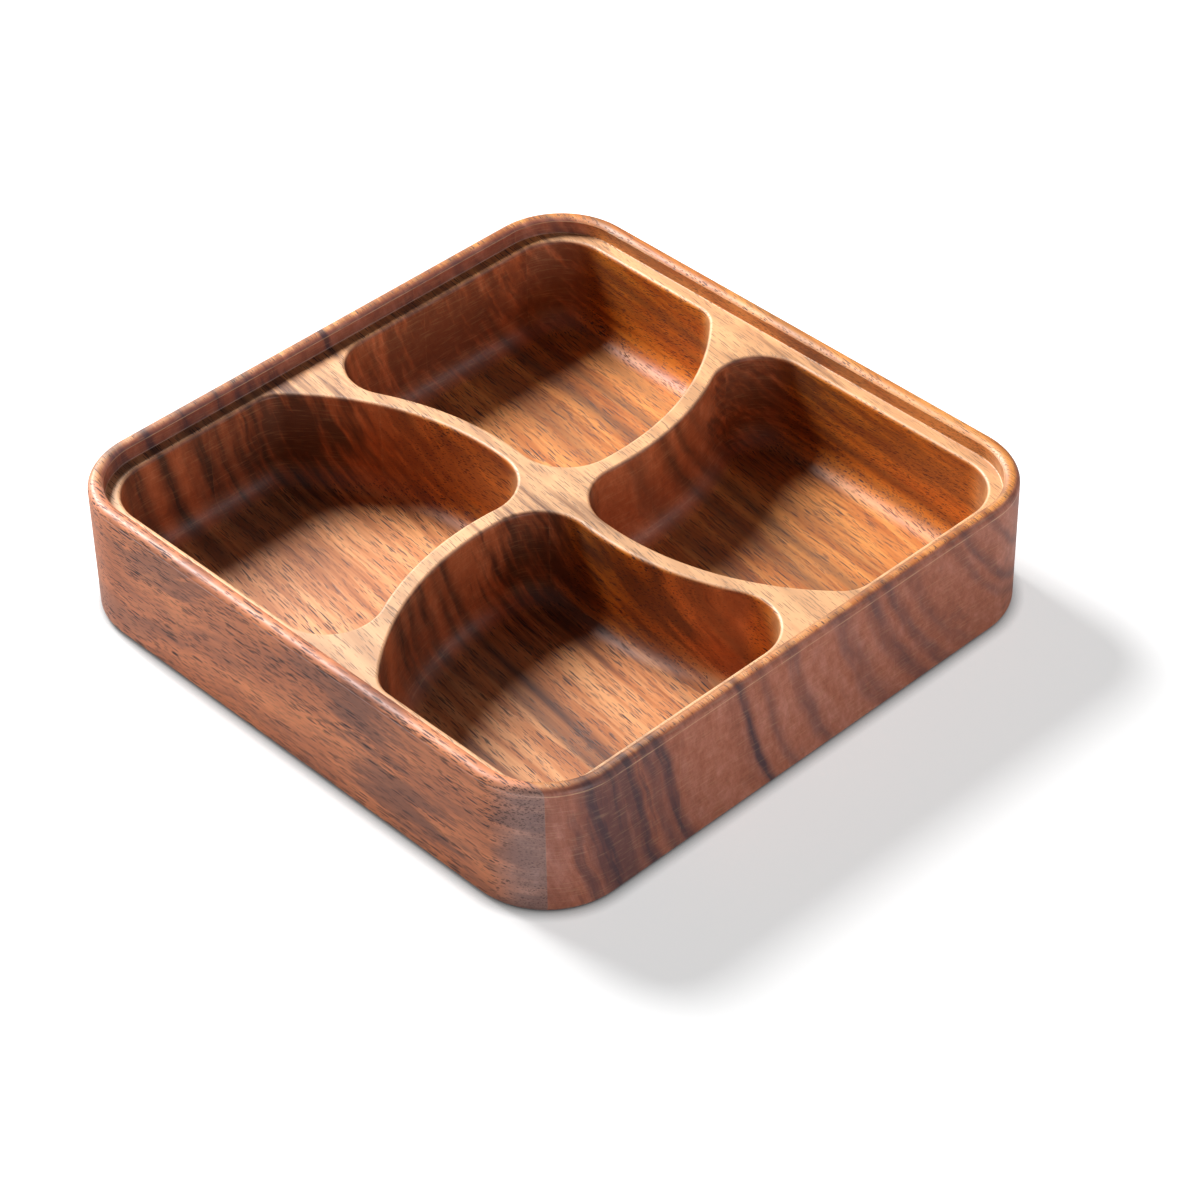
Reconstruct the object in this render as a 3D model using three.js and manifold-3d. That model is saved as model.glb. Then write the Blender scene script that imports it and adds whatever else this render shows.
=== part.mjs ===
// Divided serving tray: a square wooden tray with four pinwheel pockets and a rebate for a lid.
// It is milled from boards that are glued edge to edge and run along X, with the grain.
// Millimetres, +Z up, origin under the middle of the base, which rests on Z = 0.
import * as THREE from "three";
import { mergeVertices } from "three/addons/utils/BufferGeometryUtils.js";
import Module from "manifold-3d";

// Outside of the tray
const SIDE = 240;
const HEIGHT = 52;
const CORNER_RADIUS = 30;
const BASE_ROUND = 2.5;

// Rim, whose top falls towards the inside, and the seat for a lid inside it
const RIM_WIDTH = 5.4;
const RIM_ROUND = 2.5;
const CREST_WIDTH = 0.3;
const CREST_DROP = 1.2;
const SEAT_WIDTH = 5.6;
const SEAT_DEPTH = 6.2;
const SEAT_FILLET = 0.5;

// Pockets: two straight sides, and two sweeps that make the curved dividers
const FLOOR_THICKNESS = 9;
const FLOOR_FILLET = 9;
const POCKET_EDGE_ROUND = 1.5;
const DIVIDER_THICKNESS = 7;
const SWEEP_CREST = 32;
const SWEEP_DROP = 33;
const TOE_RADIUS = 12;
const HUB_RADIUS = 19;
const HEEL_RADIUS = 18;
const POCKET_COUNT = 4;

// Boards of the glued blank
const FRONT_STRIP_WIDTH = 9;
const BACK_STRIP_WIDTH = 29;
const BOARD_COUNT = 4;

// Fineness of the round stretches
const CORNER_STEPS = 8;
const SWEEP_STEPS = 12;
const FILLET_STEPS = 5;
const ROUND_STEPS = 4;
const EDGE_STEPS = 2;
const CUTTER_OVERRUN = 5;

// Heights and offsets that follow from the sizes above
const SEAT_HEIGHT = HEIGHT - SEAT_DEPTH;
const WALL_THICKNESS = RIM_WIDTH + SEAT_WIDTH;
const POCKET_REACH = SIDE / 2 - WALL_THICKNESS;
const BOARD_WIDTH = (SIDE - FRONT_STRIP_WIDTH - BACK_STRIP_WIDTH) / BOARD_COUNT;

const wasm = await Module();
wasm.setup();

// Outlines: each point has its place and the direction into the outlined area

// Points along an arc; hollow arcs have their centre outside the outlined area.
function arcPoints(centre, radius, start, end, steps, hollow = false) {
  const inwardSign = hollow ? 1 : -1;
  return Array.from({ length: steps + 1 }, (_, i) => {
    const angle = start + ((end - start) * i) / steps;
    const outward = new THREE.Vector2(Math.cos(angle), Math.sin(angle));
    return {
      place: outward.clone().multiplyScalar(radius).add(centre),
      inward: outward.multiplyScalar(inwardSign),
    };
  });
}

function roundedSquare(half, radius) {
  const quarter = Math.PI / 2;
  const reach = half - radius;
  return [0, 1, 2, 3].flatMap((corner) => {
    const start = corner * quarter;
    const centre = new THREE.Vector2(reach, reach).rotateAround(new THREE.Vector2(), start);
    return arcPoints(centre, radius, start, start + quarter, CORNER_STEPS);
  });
}

// Where two circles cross, on the left of the line from the first centre to the second.
function circleCrossing(centreA, radiusA, centreB, radiusB) {
  const gap = centreA.distanceTo(centreB);
  const along = (radiusA ** 2 - radiusB ** 2 + gap ** 2) / (2 * gap);
  const aside = Math.sqrt(radiusA ** 2 - along ** 2);
  const direction = centreB.clone().sub(centreA).divideScalar(gap);
  const left = new THREE.Vector2(-direction.y, direction.x);
  return centreA.clone().addScaledVector(direction, along).addScaledVector(left, aside);
}

const angleFromTo = (from, to) => Math.atan2(to.y - from.y, to.x - from.x);

// The pocket in the -X -Y quarter, counter-clockwise: a straight left and front side,
// a hollow sweep on the right and a full sweep at the back, with a rounded corner at each meeting.
function pocketOutline() {
  const outerRadius = CORNER_RADIUS - WALL_THICKNESS;
  const run = POCKET_REACH - SWEEP_CREST;
  const fullRadius = (run ** 2 + SWEEP_DROP ** 2) / (2 * SWEEP_DROP);
  const hollowRadius = fullRadius + DIVIDER_THICKNESS;
  const fullCentre = new THREE.Vector2(-SWEEP_CREST, -fullRadius);
  const hollowCentre = new THREE.Vector2(fullRadius, -SWEEP_CREST);

  const outer = new THREE.Vector2(outerRadius - POCKET_REACH, outerRadius - POCKET_REACH);
  const toeX = TOE_RADIUS - POCKET_REACH;
  const toeRise = Math.sqrt((fullRadius - TOE_RADIUS) ** 2 - (toeX - fullCentre.x) ** 2);
  const toe = new THREE.Vector2(toeX, fullCentre.y + toeRise);
  const heelY = HEEL_RADIUS - POCKET_REACH;
  const heelRun = Math.sqrt((hollowRadius + HEEL_RADIUS) ** 2 - (heelY - hollowCentre.y) ** 2);
  const heel = new THREE.Vector2(hollowCentre.x - heelRun, heelY);
  const hub = circleCrossing(
    fullCentre,
    fullRadius - HUB_RADIUS,
    hollowCentre,
    hollowRadius + HUB_RADIUS,
  );

  const fullTurn = 2 * Math.PI;
  const heelEnd = angleFromTo(heel, hollowCentre);
  const hubStart = angleFromTo(hub, hollowCentre);
  const hubEnd = angleFromTo(fullCentre, hub);
  const toeStart = angleFromTo(fullCentre, toe);
  const sweepStart = (angleFromTo(hollowCentre, heel) + fullTurn) % fullTurn;
  const sweepEnd = (angleFromTo(hollowCentre, hub) + fullTurn) % fullTurn;
  return [
    ...arcPoints(outer, outerRadius, Math.PI, 1.5 * Math.PI, CORNER_STEPS),
    ...arcPoints(heel, HEEL_RADIUS, -Math.PI / 2, heelEnd, CORNER_STEPS),
    ...arcPoints(hollowCentre, hollowRadius, sweepStart, sweepEnd, SWEEP_STEPS, true).slice(1, -1),
    ...arcPoints(hub, HUB_RADIUS, hubStart, hubEnd, CORNER_STEPS),
    ...arcPoints(fullCentre, fullRadius, hubEnd, toeStart, SWEEP_STEPS).slice(1, -1),
    ...arcPoints(toe, TOE_RADIUS, toeStart, Math.PI, CORNER_STEPS),
  ];
}

// Profiles: pairs of an inset from the outline and a height, from the bottom up

// A quarter round about a centre; a full turn of 0 points into the area and a quarter turn up.
function quarterRound(centreInset, centreHeight, radius, startTurn, endTurn, steps) {
  return Array.from({ length: steps + 1 }, (_, i) => {
    const turn = startTurn + ((endTurn - startTurn) * i) / steps;
    return [centreInset + radius * Math.cos(turn), centreHeight + radius * Math.sin(turn)];
  });
}

// A closed solid with one ring of the outline for each pair of the profile.
function loft(outline, profile) {
  const count = outline.length;
  const rings = profile.map(([inset, height]) =>
    outline.map(({ place, inward }) => {
      const moved = place.clone().addScaledVector(inward, inset);
      return new THREE.Vector3(moved.x, moved.y, height);
    }),
  );
  const cap = (ring) => THREE.ShapeUtils.triangulateShape(ring, []);
  const index = [];
  cap(rings[0]).forEach(([a, b, c]) => index.push(c, b, a));
  for (let ring = 0; ring + 1 < rings.length; ring++) {
    for (let i = 0; i < count; i++) {
      const next = (i + 1) % count;
      const [a, b] = [ring * count + i, ring * count + next];
      const [c, d] = [a + count, b + count];
      index.push(a, b, d, a, d, c);
    }
  }
  const top = (rings.length - 1) * count;
  cap(rings.at(-1)).forEach(([a, b, c]) => index.push(top + a, top + b, top + c));
  const geometry = new THREE.BufferGeometry().setFromPoints(rings.flat());
  return geometry.setIndex(index);
}

// Solids for cutting and joining

function solidFrom(geometry) {
  const bare = geometry.clone();
  bare.deleteAttribute("normal");
  bare.deleteAttribute("uv");
  const merged = mergeVertices(bare);
  return new wasm.Manifold(
    new wasm.Mesh({
      numProp: 3,
      vertProperties: merged.attributes.position.array,
      triVerts: new Uint32Array(merged.index.array),
    }),
  );
}

function geometryFrom(solid) {
  const { vertProperties, triVerts } = solid.getMesh();
  const geometry = new THREE.BufferGeometry();
  geometry.setAttribute("position", new THREE.BufferAttribute(vertProperties, 3));
  geometry.setIndex(new THREE.BufferAttribute(triVerts, 1));
  geometry.computeVertexNormals();
  return geometry;
}

// The blank's outer form, with a round at the base and another on the rim
function blankSolid() {
  const quarter = Math.PI / 2;
  const base = quarterRound(BASE_ROUND, BASE_ROUND, BASE_ROUND, 3 * quarter, Math.PI, ROUND_STEPS);
  const rim = quarterRound(RIM_ROUND, HEIGHT - RIM_ROUND, RIM_ROUND, Math.PI, quarter, ROUND_STEPS);
  return solidFrom(loft(roundedSquare(SIDE / 2, CORNER_RADIUS), [...base, ...rim]));
}

// The rebate that a lid drops into, with a small fillet at its foot and the fall of the rim above it
function seatCutter() {
  const quarter = Math.PI / 2;
  const crest = RIM_ROUND + CREST_WIDTH;
  const fall = RIM_WIDTH - crest;
  const fallRadius = (fall ** 2 + CREST_DROP ** 2) / (2 * CREST_DROP);
  const fallTurn = Math.asin(fall / fallRadius);
  const foot = quarterRound(
    RIM_WIDTH + SEAT_FILLET,
    SEAT_HEIGHT + SEAT_FILLET,
    SEAT_FILLET,
    3 * quarter,
    Math.PI,
    EDGE_STEPS,
  );
  const fallStart = quarter - fallTurn;
  const top = quarterRound(crest, HEIGHT - fallRadius, fallRadius, fallStart, quarter, ROUND_STEPS);
  const clear = [crest, HEIGHT + CUTTER_OVERRUN];
  return solidFrom(loft(roundedSquare(SIDE / 2, CORNER_RADIUS), [...foot, ...top, clear]));
}

// One pocket, with a filleted floor, upright walls and a rounded mouth
function pocketCutter() {
  const quarter = Math.PI / 2;
  const tightest = Math.min(TOE_RADIUS, HUB_RADIUS, HEEL_RADIUS, CORNER_RADIUS - WALL_THICKNESS);
  const fillet = Math.min(FLOOR_FILLET, tightest - SEAT_FILLET);
  const mouth = POCKET_EDGE_ROUND;
  const foot = quarterRound(fillet, FLOOR_THICKNESS + fillet, fillet, 3 * quarter, Math.PI, FILLET_STEPS);
  const lip = quarterRound(-mouth, SEAT_HEIGHT - mouth, mouth, 0, quarter, ROUND_STEPS);
  const clear = [-mouth, SEAT_HEIGHT + CUTTER_OVERRUN];
  return loft(pocketOutline(), [...foot, ...lip, clear]);
}

function milledTray() {
  let tray = blankSolid().subtract(seatCutter());
  for (let i = 0; i < POCKET_COUNT; i++) {
    const turned = pocketCutter().rotateZ((i * 2 * Math.PI) / POCKET_COUNT);
    tray = tray.subtract(solidFrom(turned));
  }
  return tray;
}

// Glue joints across the tray, on both sides of each whole board
function jointLines() {
  const first = FRONT_STRIP_WIDTH - SIDE / 2;
  return Array.from({ length: BOARD_COUNT + 1 }, (_, i) => first + i * BOARD_WIDTH);
}

// The part of the tray between two joints
function boardSolid(tray, front, back) {
  const length = SIDE + 2 * CUTTER_OVERRUN;
  const depth = HEIGHT + 2 * CUTTER_OVERRUN;
  const slab = new THREE.BoxGeometry(length, back - front, depth);
  slab.translate(0, (front + back) / 2, HEIGHT / 2);
  return tray.intersect(solidFrom(slab));
}

function woodMaterial(color) {
  return new THREE.MeshStandardMaterial({ color, roughness: 0.5, metalness: 0 });
}

// The tray as its boards, from the front strip to the back strip
function makeTray() {
  const tones = [0x8a5432, 0x9c6238, 0xa06a3e, 0x96602f, 0xa56c3a, 0x9b6436];
  const tray = milledTray();
  const edges = [-SIDE / 2 - CUTTER_OVERRUN, ...jointLines(), SIDE / 2 + CUTTER_OVERRUN];
  const group = new THREE.Group();
  const pieces = edges.length - 1;
  for (let i = 0; i < pieces; i++) {
    const geometry = geometryFrom(boardSolid(tray, edges[i], edges[i + 1]));
    const mesh = new THREE.Mesh(geometry, woodMaterial(tones[i % tones.length]));
    const edgeName = i === 0 ? "front_edge_strip" : "back_edge_strip";
    mesh.name = i === 0 || i === pieces - 1 ? edgeName : `board_${i}`;
    group.add(mesh);
  }
  return group;
}

export default makeTray();
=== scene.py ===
"""Divided serving tray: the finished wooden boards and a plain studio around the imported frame.

Lengths are metres, +Z is up, the grain runs along X, and the origin lies under the middle of the base.
"""
import logging
import math
from dataclasses import dataclass, field, replace
from enum import Enum
from functools import partial, reduce

import bmesh
import bpy
from mathutils import Matrix, Vector
from mathutils.geometry import tessellate_polygon


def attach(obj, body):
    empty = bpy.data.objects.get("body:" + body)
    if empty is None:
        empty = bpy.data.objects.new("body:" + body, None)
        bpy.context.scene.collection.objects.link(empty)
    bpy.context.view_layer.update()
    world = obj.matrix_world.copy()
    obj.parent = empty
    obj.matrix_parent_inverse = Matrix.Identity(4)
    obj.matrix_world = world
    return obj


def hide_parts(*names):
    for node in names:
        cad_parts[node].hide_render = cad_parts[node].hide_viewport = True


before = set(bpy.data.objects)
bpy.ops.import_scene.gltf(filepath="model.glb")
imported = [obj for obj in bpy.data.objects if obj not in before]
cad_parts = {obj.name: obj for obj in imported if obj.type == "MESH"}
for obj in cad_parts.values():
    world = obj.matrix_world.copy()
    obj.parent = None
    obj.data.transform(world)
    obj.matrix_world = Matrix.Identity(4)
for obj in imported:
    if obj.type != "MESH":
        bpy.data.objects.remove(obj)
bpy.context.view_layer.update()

LOG = logging.getLogger("tray")
MM = 0.001
QUARTER = math.pi / 2

Triple = tuple[float, float, float]
Colour = Triple
Vert = bmesh.types.BMVert
Socket = bpy.types.NodeSocket
Tree = bpy.types.NodeTree
Source = Socket | float

WHITE: Colour = (1.0, 1.0, 1.0)


class Sawing(Enum):
    """How a board was cut from the log, which decides the figure on its faces."""

    RIFT = "rift"
    FLAT = "flat"


# Outlines and cross-sections


@dataclass(frozen=True)
class EdgePoint:
    """A point of a plan outline, with the direction from it into the outlined area."""

    place: Vector
    inward: Vector


@dataclass(frozen=True)
class SectionPoint:
    """A point of a cross-section: its inset and height, the surface's facing there, and the strength of
    its painted edge highlight.
    """

    inset: float
    height: float
    facing: tuple[float, float]
    arris: float = 0.0


def arc_section(
    centre: tuple[float, float], radius: float, start: float, end: float, steps: int, outside: bool = True
) -> list[SectionPoint]:
    """Points of a round in a cross-section.

    Args:
        centre: Inset and height of the round's centre.
        radius: Radius of the round.
        start: Angle of the first point; 0 points along the inset and a quarter turn points up.
        end: Angle of the last point.
        steps: Number of steps between them.
        outside: True where the surface faces away from the centre.

    Returns:
        The points in order, each with its facing.
    """
    sign = 1.0 if outside else -1.0
    points = []
    for i in range(steps + 1):
        turn = start + (end - start) * i / steps
        across, up = math.cos(turn), math.sin(turn)
        facing = (sign * across, sign * up)
        points.append(SectionPoint(centre[0] + radius * across, centre[1] + radius * up, facing))
    return points


@dataclass
class PlanOutline:
    """A closed outline in plan, counter-clockwise, that sections are swept along."""

    name: str
    points: list[EdgePoint]

    def turned(self, name: str, angle: float) -> "PlanOutline":
        """The same outline turned about the tray's middle.

        Args:
            name: Name of the new outline.
            angle: Turn in radians.

        Returns:
            The turned outline.
        """
        turn = Matrix.Rotation(angle, 2)
        return PlanOutline(name, [EdgePoint(turn @ p.place, turn @ p.inward) for p in self.points])

    def ring(self, at: SectionPoint) -> list[Vector]:
        """The outline's points moved to a section point's inset and height."""
        return [Vector((*(p.place + p.inward * at.inset), at.height)) for p in self.points]


def arc_outline(
    centre: Vector, radius: float, start: float, end: float, steps: int, hollow: bool = False
) -> list[EdgePoint]:
    """Points of an arc in plan.

    Args:
        centre: The arc's centre.
        radius: The arc's radius.
        start: Angle of the first point.
        end: Angle of the last point.
        steps: Number of steps between them.
        hollow: True where the centre lies outside the outlined area.

    Returns:
        The points in order.
    """
    sign = 1.0 if hollow else -1.0
    points = []
    for i in range(steps + 1):
        turn = start + (end - start) * i / steps
        outward = Vector((math.cos(turn), math.sin(turn)))
        points.append(EdgePoint(centre + outward * radius, outward * sign))
    return points


def with_straights(points: list[EdgePoint], spacing: float) -> list[EdgePoint]:
    """Fills long gaps between the points of a closed outline.

    Args:
        points: The outline's points.
        spacing: Longest gap that is left open.

    Returns:
        The points with even steps along the straight sides.
    """
    filled = []
    for here, there in zip(points, points[1:] + points[:1]):
        filled.append(here)
        pieces = math.ceil((there.place - here.place).length / spacing)
        for i in range(1, pieces):
            filled.append(EdgePoint(here.place.lerp(there.place, i / pieces), here.inward))
    return filled


def direction(start: Vector, end: Vector) -> float:
    """The angle of the way from one plan point to another."""
    return math.atan2(end.y - start.y, end.x - start.x)


# The carved form


@dataclass
class TrayForm:
    """The carved tray before its joints are drawn: sizes, outlines and the skin of its surface."""

    CORNERS = 4

    side: float = 240 * MM
    height: float = 52 * MM
    corner_radius: float = 30 * MM
    base_round: float = 2.5 * MM
    rim_width: float = 5.4 * MM
    rim_round: float = 2.5 * MM
    crest_width: float = 0.3 * MM
    crest_drop: float = 1.2 * MM
    seat_width: float = 5.6 * MM
    seat_depth: float = 6.2 * MM
    seat_fillet: float = 0.5 * MM
    floor_thickness: float = 9 * MM
    floor_fillet: float = 9 * MM
    mouth_round: float = 1.5 * MM
    divider: float = 7 * MM
    sweep_crest: float = 32 * MM
    sweep_drop: float = 33 * MM
    toe_radius: float = 12 * MM
    hub_radius: float = 19 * MM
    heel_radius: float = 18 * MM
    pockets: int = 4
    corner_steps: int = 22
    sweep_steps: int = 44
    round_steps: int = 8
    fillet_steps: int = 14
    spacing: float = 6 * MM
    arris_width: float = 0.35 * MM
    # Strength of the painted highlight line in the fillet at the foot of the rim's inner wall.
    foot_highlight: float = 0.7

    @property
    def seat_height(self) -> float:
        """Height of the lid's seat and of the dividers' tops."""
        return self.height - self.seat_depth

    @property
    def wall(self) -> float:
        """Thickness of the tray's side beside a pocket."""
        return self.rim_width + self.seat_width

    def outside_outline(self) -> PlanOutline:
        """The rounded square of the tray's outside.

        Returns:
            The outline of the outer side.
        """
        reach = self.side / 2 - self.corner_radius
        points = []
        for corner in range(self.CORNERS):
            start = corner * QUARTER
            centre = Matrix.Rotation(start, 2) @ Vector((reach, reach))
            points += arc_outline(centre, self.corner_radius, start, start + QUARTER, self.corner_steps)
        return PlanOutline("outside", with_straights(points, self.spacing))

    def pocket_outline(self) -> PlanOutline:
        """The pocket in the -X -Y quarter: two straight sides, a hollow sweep and a full sweep.

        Returns:
            The outline of the pocket's upright walls.
        """
        reach = self.side / 2 - self.wall
        outer_radius = self.corner_radius - self.wall
        run = reach - self.sweep_crest
        full_radius = (run**2 + self.sweep_drop**2) / (2 * self.sweep_drop)
        hollow_radius = full_radius + self.divider
        full_centre = Vector((-self.sweep_crest, -full_radius))
        hollow_centre = Vector((full_radius, -self.sweep_crest))

        outer = Vector((outer_radius - reach, outer_radius - reach))
        toe_x = self.toe_radius - reach
        toe_rise = math.sqrt((full_radius - self.toe_radius) ** 2 - (toe_x - full_centre.x) ** 2)
        toe = Vector((toe_x, full_centre.y + toe_rise))
        heel_y = self.heel_radius - reach
        heel_run = math.sqrt((hollow_radius + self.heel_radius) ** 2 - (heel_y - hollow_centre.y) ** 2)
        heel = Vector((hollow_centre.x - heel_run, heel_y))
        hub = self._hub_centre(full_centre, full_radius, hollow_centre, hollow_radius)

        turn = 2 * math.pi
        hub_end = direction(full_centre, hub)
        toe_start = direction(full_centre, toe)
        sweep_start = direction(hollow_centre, heel) % turn
        sweep_end = direction(hollow_centre, hub) % turn
        corner, sweep = self.corner_steps, self.sweep_steps
        points = arc_outline(outer, outer_radius, math.pi, 3 * QUARTER, corner)
        points += arc_outline(heel, self.heel_radius, -QUARTER, direction(heel, hollow_centre), corner)
        points += arc_outline(hollow_centre, hollow_radius, sweep_start, sweep_end, sweep, True)[1:-1]
        points += arc_outline(hub, self.hub_radius, direction(hub, hollow_centre), hub_end, corner)
        points += arc_outline(full_centre, full_radius, hub_end, toe_start, sweep)[1:-1]
        points += arc_outline(toe, self.toe_radius, toe_start, math.pi, corner)
        return PlanOutline("pocket", with_straights(points, self.spacing))

    def _hub_centre(
        self, full: Vector, full_radius: float, hollow: Vector, hollow_radius: float
    ) -> Vector:
        """Centre of the round where a pocket's two sweeps meet.

        Args:
            full: Centre of the full sweep.
            full_radius: Its radius.
            hollow: Centre of the hollow sweep.
            hollow_radius: Its radius.

        Returns:
            The centre of a round that touches both sweeps.
        """
        near = full_radius - self.hub_radius
        far = hollow_radius + self.hub_radius
        gap = (hollow - full).length
        along = (near**2 - far**2 + gap**2) / (2 * gap)
        aside = math.sqrt(near**2 - along**2)
        way = (hollow - full) / gap
        return full + way * along + Vector((-way.y, way.x)) * aside

    def outside_section(self) -> list[list[SectionPoint]]:
        """Runs of the section from the base, up the outside, over the rim and down to the lid's seat.

        Returns:
            The runs in order, each smooth in itself, with an arris between them.
        """
        steps = self.round_steps
        base_centre = (self.base_round, self.base_round)
        base = arc_section(base_centre, self.base_round, 3 * QUARTER, 2 * QUARTER, steps)
        shoulder = self.height - self.rim_round
        outer = (-1.0, 0.0)
        # Points with an arris value carry a painted highlight line along that edge.
        wall = [
            *base,
            SectionPoint(0.0, shoulder - 2 * self.arris_width, outer),
            SectionPoint(0.0, shoulder - self.arris_width, outer),
            SectionPoint(0.0, shoulder, outer, arris=1.0),
        ]
        rim = arc_section((self.rim_round, shoulder), self.rim_round, 2 * QUARTER, QUARTER, steps)
        crest = self.rim_round + self.crest_width
        fall = self.rim_width - crest
        fall_radius = (fall**2 + self.crest_drop**2) / (2 * self.crest_drop)
        fall_turn = math.asin(fall / fall_radius)
        fall_centre = (crest, self.height - fall_radius)
        fallen = arc_section(fall_centre, fall_radius, QUARTER, QUARTER - fall_turn, steps)
        lip = fallen[-1]
        fallen[-1] = replace(lip, arris=1.0)
        rim[0] = replace(rim[0], arris=1.0)
        inner = (1.0, 0.0)
        foot_height = self.seat_height + self.seat_fillet
        foot_centre = (self.rim_width + self.seat_fillet, foot_height)
        foot = arc_section(foot_centre, self.seat_fillet, 2 * QUARTER, 3 * QUARTER, steps // 2, False)
        # The middle of the seat fillet carries a painted highlight line.
        middle = len(foot) // 2
        foot[middle] = replace(foot[middle], arris=self.foot_highlight)
        inside = [
            SectionPoint(self.rim_width, lip.height, inner, arris=1.0),
            SectionPoint(self.rim_width, lip.height - self.arris_width, inner),
            *foot,
        ]
        return [wall, rim + fallen, inside]

    def pocket_section(self) -> list[SectionPoint]:
        """The section of a pocket from the lid's seat over the mouth and down to the floor.

        Returns:
            The section points in order.
        """
        centre = (-self.mouth_round, self.seat_height - self.mouth_round)
        mouth = arc_section(centre, self.mouth_round, QUARTER, 0.0, self.round_steps)
        centre = (self.floor_fillet, self.floor_thickness + self.floor_fillet)
        start, end = 2 * QUARTER, 3 * QUARTER
        return mouth + arc_section(centre, self.floor_fillet, start, end, self.fillet_steps, False)

    def skin(self) -> "CarvedSkin":
        """The whole carved surface as one closed skin.

        Returns:
            The skin of the tray before it is parted into boards.
        """
        skin = CarvedSkin()
        outside = self.outside_outline()
        rings = [skin.sweep(outside, run) for run in self.outside_section()]
        skin.cap([rings[0][0]], Vector((0, 0, -1)))
        pocket = self.pocket_outline()
        mouths = []
        for i in range(self.pockets):
            outline = pocket.turned(f"pocket_{i}", i * 2 * math.pi / self.pockets)
            swept = skin.sweep(outline, self.pocket_section())
            mouths.append(swept[0])
            skin.cap([swept[-1]], Vector((0, 0, 1)))
        skin.cap([rings[-1][-1], *mouths], Vector((0, 0, 1)))
        return skin


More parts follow.
